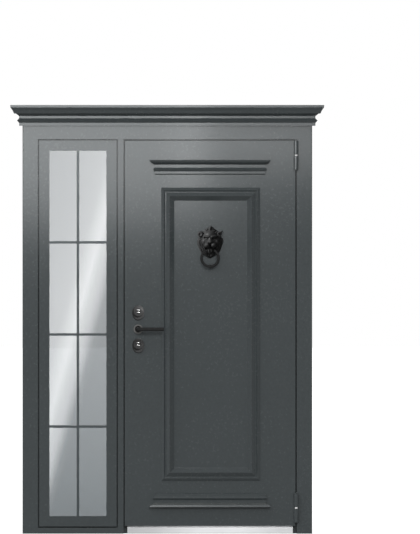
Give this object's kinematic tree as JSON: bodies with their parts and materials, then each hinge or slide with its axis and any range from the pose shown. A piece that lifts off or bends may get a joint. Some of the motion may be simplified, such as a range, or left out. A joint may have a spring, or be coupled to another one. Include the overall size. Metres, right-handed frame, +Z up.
{
  "type": "entrance door set",
  "caption": "Grey steel entrance door set with a cornice, a fixed glazed sidelight, an outward-opening panelled leaf, lever, locks and a lion-mask ring knocker.",
  "frame": {"origin": "on the floor, on the centre line of the frame's width, in the plane of the wall's outer face", "axes": "+X to the right seen from outside, +Y into the house, +Z up"},
  "size_m": [1.622, 0.219, 2.218],
  "materials": {
    "door_paint": "satin",
    "stainless": "brushed",
    "black_metal": "satin black",
    "polished_steel": "polished",
    "tinted_glass": "reflective",
    "seal_rubber": "matt"
  },
  "bodies": {
    "frame": {"left_jamb": "door_paint", "right_jamb": "door_paint", "frame_head": "door_paint", "mullion": "door_paint", "sidelight_sill": "door_paint", "threshold": "stainless", "cornice": "door_paint", "sash_left_stile": "door_paint", "sash_right_stile": "door_paint", "sash_top_rail": "door_paint", "sash_bottom_rail": "door_paint", "outer_glass_pane": "tinted_glass", "inner_glass_pane": "tinted_glass", "glazing_beads": "door_paint", "upper_hinge_frame_knuckle": "door_paint", "lower_hinge_frame_knuckle": "door_paint", "hinge_bearings": "polished_steel", "strike_plate": "stainless", "door_seal": "seal_rubber"},
    "leaf": {"leaf_outer_panel": "door_paint", "leaf_core": "door_paint", "leaf_inner_panel": "door_paint", "panel_moulding_left": "door_paint", "panel_moulding_right": "door_paint", "panel_moulding_top": "door_paint", "panel_moulding_bottom": "door_paint", "head_ledge": "door_paint", "base_ledge": "door_paint", "inner_moulding_stiles": "door_paint", "inner_moulding_rails": "door_paint", "knocker_head": "black_metal", "knocker_strike": "black_metal", "outer_rosette": "black_metal", "inner_rosette": "black_metal", "upper_lock_escutcheon": "black_metal", "lower_lock_escutcheon": "black_metal", "upper_inner_escutcheon": "black_metal", "lower_inner_escutcheon": "black_metal", "lock_cylinders": "polished_steel", "lock_faceplate": "stainless", "upper_hinge_leaf_knuckle": "door_paint", "lower_hinge_leaf_knuckle": "door_paint"},
    "lever": {"outer_lever": "black_metal", "inner_lever": "black_metal"},
    "knocker_ring": {"knocker_ring": "black_metal"}
  },
  "joints": [
    {"name": "door_swing", "type": "hinge", "parent": "frame", "child": "leaf", "pos_m": [0.66675, -0.033, 1], "axis": [0, 0, 1], "range_deg": [0, 110]},
    {"name": "lever_turn", "type": "hinge", "parent": "leaf", "child": "lever", "pos_m": [-0.1505, -0.02, 1.059], "axis": [0, 1, 0], "range_deg": [0, 40], "stiffness_Nm_per_rad": 3, "springref_deg": -28.65},
    {"name": "knocker_swing", "type": "hinge", "parent": "leaf", "child": "knocker_ring", "pos_m": [0.2215, -0.052, 1.4645], "axis": [-1, 0, 0], "range_deg": [0, 85]}
  ]
}
